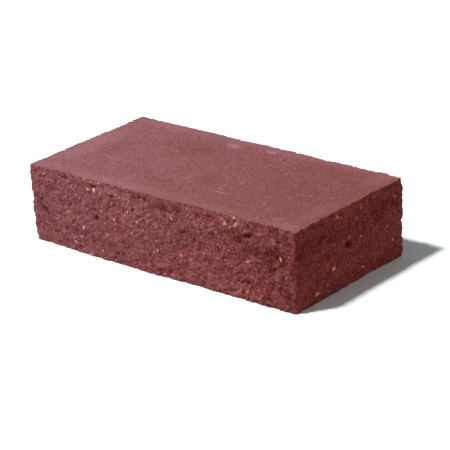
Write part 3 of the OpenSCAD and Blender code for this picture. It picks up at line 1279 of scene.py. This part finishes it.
def bed_material(colours):
    """Moulded cement skin: two tints, bloom, fine grain, pinholes darkened with painted shade,
    marks, and a drift from end to end that is partly painted light.
    """
    material = bpy.data.materials.new("moulded_bed")
    n = Nodes(material)
    dark, pale = colours.split_dark, colours.bed_pale
    swayed = ragged(n, 14 * MM, 9 * MM)
    across = n.math("ABSOLUTE", n.axis(swayed, "Y"), 0)
    dragged = n.add("Mapping", "Vector", {"Vector": n.place, "Scale": (0.35, 1.6, 1.0)})
    drag = n.noise(11 * MM, 3, 0.6, dragged)
    sand = n.cell_tone(0.9 * MM, "Red")
    grain = n.noise(1.3 * MM, 3, 0.65)
    body = n.coats(colours.bed, (
        (across, (WIDTH / 2 - 19 * MM, WIDTH / 2 - 4 * MM, 0.0, 0.44), pale),
        (n.noise(45 * MM, 3, 0.55), (0.45, 0.7, 0.0, 0.35), pale),
        (drag, (0.45, 0.75, 0.0, 0.25), pale),
        (n.noise(7 * MM, 2), (0.3, 0.5, 0.12, 0.0), dark),
        (sand, (0.0, 0.8, 0.4, 0.0), dark),
        (sand, (0.5, 1.0, 0.0, 0.7), pale),
        (grain, (0.3, 0.55, 0.4, 0.0), dark),
    ))
    ends, clouds = (BED_PLUM, BED_BROWN), (BED_RUST, BED_VIOLET)
    body = drifted(n, body, n.axis(swayed, "X"), 90 * MM, ends, 6 * MM, clouds)
    body = marked(n, body, colours)
    speck = n.ramp(n.cell_tone(1.5 * MM, "Green"), 0.996, 0.999, 0.0, 0.3)
    body = n.mix(speck, body, colours.speck)
    pinhole = pinholes(n)
    # Painted shade in the pinholes
    body = n.mix(n.math("MULTIPLY", pinhole, 0.5), body, dark)
    skin = n.bump(grain, 0.3 * MM, n.bump(drag, 0.25 * MM))
    pricked = n.bump(n.math("SUBTRACT", 1.0, pinhole), 0.3 * MM, skin)
    n.shade(body, n.ramp(grain, 0.3, 0.7, 0.74, 0.9), 0.06, pricked)
    return material


def chip_material(colours):
    """Broken stone, each chip in its own colour, with some cement left on it."""
    material = bpy.data.materials.new("stone_chip")
    n = Nodes(material)
    own = n.attribute("stone", "Color")
    weather = n.ramp(n.noise(0.9 * MM, 4, 0.6), 0.35, 0.65)
    body = n.mix(weather, own, n.times(own, WEATHERED))
    film = n.ramp(n.noise(1.7 * MM, 3, 0.6), 0.57, 0.67, 0.0, 0.5)
    body = n.mix(film, body, colours.split)
    n.shade(body, 0.62, 0.15, n.bump(n.noise(0.5 * MM, 3), 0.1 * MM))
    return material


# --- Stone chips ---


def ball_points():
    """Points and triangles of a ball of 80 faces, round the origin, of radius 1."""
    ball = bmesh.new()
    bmesh.ops.create_icosphere(ball, subdivisions=2, radius=1.0)
    ball.verts.index_update()
    points = np.array([v.co[:] for v in ball.verts])
    faces = np.array([[v.index for v in face.verts] for face in ball.faces])
    ball.free()
    return points, faces


def broken_stone(ball, length, breadth, thickness, rng):
    """The ball cut by random planes, less deep on a broad stone, squeezed to its size."""
    stone = ball.copy()
    nearest = CUT_FROM + BROAD_CUT * smooth_step((breadth - BROAD_STONE) / (2 * MM))
    for _ in range(STONE_CUTS):
        normal = rng.standard_normal(3)
        normal /= np.linalg.norm(normal)
        past = np.maximum(0, stone @ normal - rng.uniform(nearest, CUT_TO))
        stone -= past[:, None] * normal
    return stone * (length / 2, breadth / 2, thickness / 2)


def chips_on(side, mix, rng):
    """The chips listed for a side, then small ones at random, more where none are listed."""
    listed = CHIPS.get(side.name, ())
    yield from (Chip(*row) for row in listed)
    share = SHARE_LISTED if listed else SHARE_UNLISTED
    largest = LONGEST_LISTED if listed else mix.largest
    kinds = list(STONES)
    odds = [stone.share for stone in STONES.values()]
    for _ in range(count_on(side, mix.per_dm2 * share, DM2)):
        length = mix.smallest + (largest - mix.smallest) * rng.uniform() ** MOSTLY_SMALL
        along = rng.uniform(0.01, 0.99) * side.run
        up = rng.uniform(0.02, 0.98) * HEIGHT
        stone = kinds[rng.choice(len(kinds), p=odds)]
        breadth = length * rng.uniform(*STONE_BREADTH)
        tilt = rng.uniform(0, 180)
        yield Chip(along / MM, up / MM, length / MM, breadth / MM, tilt, stone)


def sunk_chip(chip, side, tree, ball, rng):
    """Points of a chip sunk into the skin where a ray finds it, or None where none does."""
    along, inward = side_axes(side)
    place = Vector((*side.start, LOW.z + chip.up * MM))
    place += along * chip.along * MM - inward * RAY_START
    hit = tree.ray_cast(place, inward, RAY_REACH)[0]
    if hit is None:
        return None
    thickness = min(chip.length, chip.breadth) * rng.uniform(*STONE_THICKNESS) * MM
    shape = broken_stone(ball, chip.length * MM, chip.breadth * MM, thickness, rng)
    upright = Matrix((along, Vector((0, 0, 1)), -inward)).transposed()
    lean = Matrix.Rotation(rng.uniform(-STONE_LEAN, STONE_LEAN), 3, "X")
    turn = upright @ Matrix.Rotation(math.radians(chip.tilt), 3, "Z") @ lean
    return shape @ np.array(turn).T + np.array(hit + inward * thickness * STONE_SUNK)


def build_chips(skin, mix):
    """All the chips as one mesh, with the colour of each stored at its points."""
    tree = BVHTree.FromObject(skin, bpy.context.evaluated_depsgraph_get())
    rng = np.random.default_rng(mix.seed)
    ball, ball_faces = ball_points()
    points, faces, tints = [], [], []
    for side in SIDES:
        # Stones on an end take part of the ends' painted shade
        painted_shade_tint = 1 - STONE_SHADE_SHARE * side.deep * (1 - np.array(PAINTED_SHADE_RED))
        for chip in chips_on(side, mix, rng):
            placed = sunk_chip(chip, side, tree, ball, rng)
            if placed is None:
                continue
            faces.append(ball_faces + len(points) * len(ball))
            points.append(placed)
            colour = np.array(STONES[chip.stone].colour) * chip.tone
            tint = colour * rng.uniform(*STONE_TONES) * painted_shade_tint
            tints.append(np.tile([*tint, 1.0], (len(ball), 1)))
    mesh = bpy.data.meshes.new(CHIPS_NAME)
    mesh.from_pydata(np.vstack(points).tolist(), [], np.vstack(faces).tolist())
    colour = mesh.attributes.new("stone", "FLOAT_COLOR", "POINT")
    colour.data.foreach_set("color", np.vstack(tints).astype(np.float32).reshape(-1))
    return mesh


# --- Camera, floor and lights ---


def link_object(name, data):
    """A new object in the scene."""
    made = bpy.data.objects.new(name, data)
    bpy.context.scene.collection.objects.link(made)
    return made


def make_camera(studio):
    """Camera that looks down on the front and the right end."""
    turn, rise, roll = studio.azimuth, studio.elevation, studio.roll
    back = Vector((
        math.sin(turn) * math.cos(rise),
        -math.cos(turn) * math.cos(rise),
        math.sin(rise),
    ))
    level = Vector((math.cos(turn), math.sin(turn), 0))
    right = level * math.cos(roll) + back.cross(level) * math.sin(roll)
    pose = Matrix((right, back.cross(right), back)).transposed().to_4x4()
    pose.translation = AIM + back * studio.distance
    data = bpy.data.cameras.new("camera")
    data.lens = studio.lens
    camera = link_object("camera", data)
    camera.matrix_world = pose
    bpy.context.scene.camera = camera


def seen_ray(n):
    """1 on rays that show the background: the camera's, mirrored and see-through ones."""
    rays = ("Is Camera Ray", "Is Glossy Ray", "Is Transmission Ray")
    camera, glossy, through = (n.add("LightPath", ray) for ray in rays)
    return n.math("MAXIMUM", n.math("MAXIMUM", camera, glossy), through)


def make_floor():
    """Pale floor that looks white to the camera and returns less light to the brick."""
    mesh = bpy.data.meshes.new("floor")
    far = FLOOR_REACH
    corners = [(-far, -far, 0), (far, -far, 0), (far, far, 0), (-far, far, 0)]
    mesh.from_pydata(corners, [], [(0, 1, 2, 3)])
    floor = link_object("floor", mesh)
    floor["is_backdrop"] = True
    material = bpy.data.materials.new("floor")
    n = Nodes(material)
    n.shade(n.mix(seen_ray(n), FLOOR_LIT, FLOOR_SEEN), 1.0, 0.0)
    mesh.materials.append(material)


def make_world(studio):
    """White light from all round, weaker from above, seen by the camera as plain white."""
    world = bpy.data.worlds.new("studio")
    bpy.context.scene.world = world
    n = Nodes(world)
    rise = n.axis(n.add("TexCoord", "Generated"), "Z")
    ends = {"To Min": studio.fill, "To Max": studio.overhead}
    strength = n.add("MapRange", "Result", {"Value": rise, **ends})
    light = n.tree.nodes["Background"]
    n.fill(light, {"Color": WHITE, "Strength": strength})
    seen = n.add("Background", "Background", {"Color": WHITE})
    both = n.add("MixShader", "Shader", {0: seen_ray(n), 1: light.outputs[0], 2: seen})
    n.link(both, n.tree.nodes["World Output"].inputs["Surface"])


def add_lamp(name, kind, towards, away, power, colour):
    """Lamp that stands this far off and shines at the middle of the brick."""
    data = bpy.data.lights.new(name, kind)
    data.energy = power
    data.color = colour
    lamp = link_object(name, data)
    towards = towards.normalized()
    lamp.location = Vector((0, 0, HEIGHT / 2)) + towards * away
    lamp.rotation_mode = "QUATERNION"
    lamp.rotation_quaternion = towards.to_track_quat("Z", "Y")
    return data


def make_lamps(studio):
    """Key from the front left, and a weak cool lamp close by on the left."""
    key = add_lamp("key", "SUN", KEY_TOWARDS, 1.0, studio.key * math.pi, KEY_COLOUR)
    key.angle = KEY_ANGLE
    side = add_lamp("side", "AREA", SIDE_TOWARDS, SIDE_AWAY, SIDE_POWER, SIDE_COLOUR)
    side.size = SIDE_SIZE


# --- Operators and panel ---


def place_piece(name, mesh, materials):
    """Links a new object that rides on the brick's body and takes its finish."""
    for material in materials:
        mesh.materials.append(material)
    piece = link_object(name, mesh)
    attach(piece, BODY)
    return piece


class BRICK_OT_build_block(bpy.types.Operator):
    """Lay the rough sides and the moulded beds over the block"""

    bl_idname = "brick.build_block"
    bl_label = "Build the brick"

    def execute(self, context):
        scene = context.scene
        mesh = build_skin(scene.brick_break)
        materials = (split_material(scene.brick_colours), bed_material(scene.brick_colours))
        skin = place_piece(SKIN_NAME, mesh, materials)
        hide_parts(NODE)
        return {"FINISHED"}


class BRICK_OT_set_chips(bpy.types.Operator):
    """Set the stone chips into the broken sides"""

    bl_idname = "brick.set_chips"
    bl_label = "Set the stone chips"

    def execute(self, context):
        scene = context.scene
        mesh = build_chips(bpy.data.objects[SKIN_NAME], scene.brick_chips)
        place_piece(CHIPS_NAME, mesh, (chip_material(scene.brick_colours),))
        return {"FINISHED"}


class BRICK_OT_set_studio(bpy.types.Operator):
    """Set the camera, the floor and the lights"""

    bl_idname = "brick.set_studio"
    bl_label = "Set the studio"

    def execute(self, context):
        studio = context.scene.brick_studio
        make_camera(studio)
        make_floor()
        make_lamps(studio)
        make_world(studio)
        context.scene.view_settings.view_transform = "Standard"
        return {"FINISHED"}


class BRICK_PT_panel(bpy.types.Panel):
    """Lists the settings and the steps"""

    bl_idname = "BRICK_PT_panel"
    bl_label = "Split-face brick"
    bl_space_type = "VIEW_3D"
    bl_region_type = "UI"
    bl_category = "Brick"

    def draw(self, context):
        for name, group in GROUPS.items():
            box = self.layout.box()
            box.label(text=group.__doc__)
            settings = getattr(context.scene, name)
            for prop in group.__annotations__:
                box.prop(settings, prop)
        for operator in OPERATORS:
            self.layout.operator(operator.bl_idname)


GROUPS = {
    "brick_break": BrickBreak,
    "brick_colours": BrickColours,
    "brick_chips": BrickChips,
    "brick_studio": BrickStudio,
}
OPERATORS = (BRICK_OT_build_block, BRICK_OT_set_chips, BRICK_OT_set_studio)
CLASSES = (*GROUPS.values(), *OPERATORS, BRICK_PT_panel)


def register():
    for cls in CLASSES:
        bpy.utils.register_class(cls)
    for name, group in GROUPS.items():
        setattr(bpy.types.Scene, name, PointerProperty(type=group))


def unregister():
    for name in GROUPS:
        delattr(bpy.types.Scene, name)
    for cls in reversed(CLASSES):
        bpy.utils.unregister_class(cls)


def main():
    register()
    bpy.ops.brick.build_block()
    bpy.ops.brick.set_chips()
    bpy.ops.brick.set_studio()
    boxes = {"cad": CAD_BOX, "visual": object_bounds()}
    lists = {name: [list(corner) for corner in box] for name, box in boxes.items()}


if __name__ == "__main__":
    main()
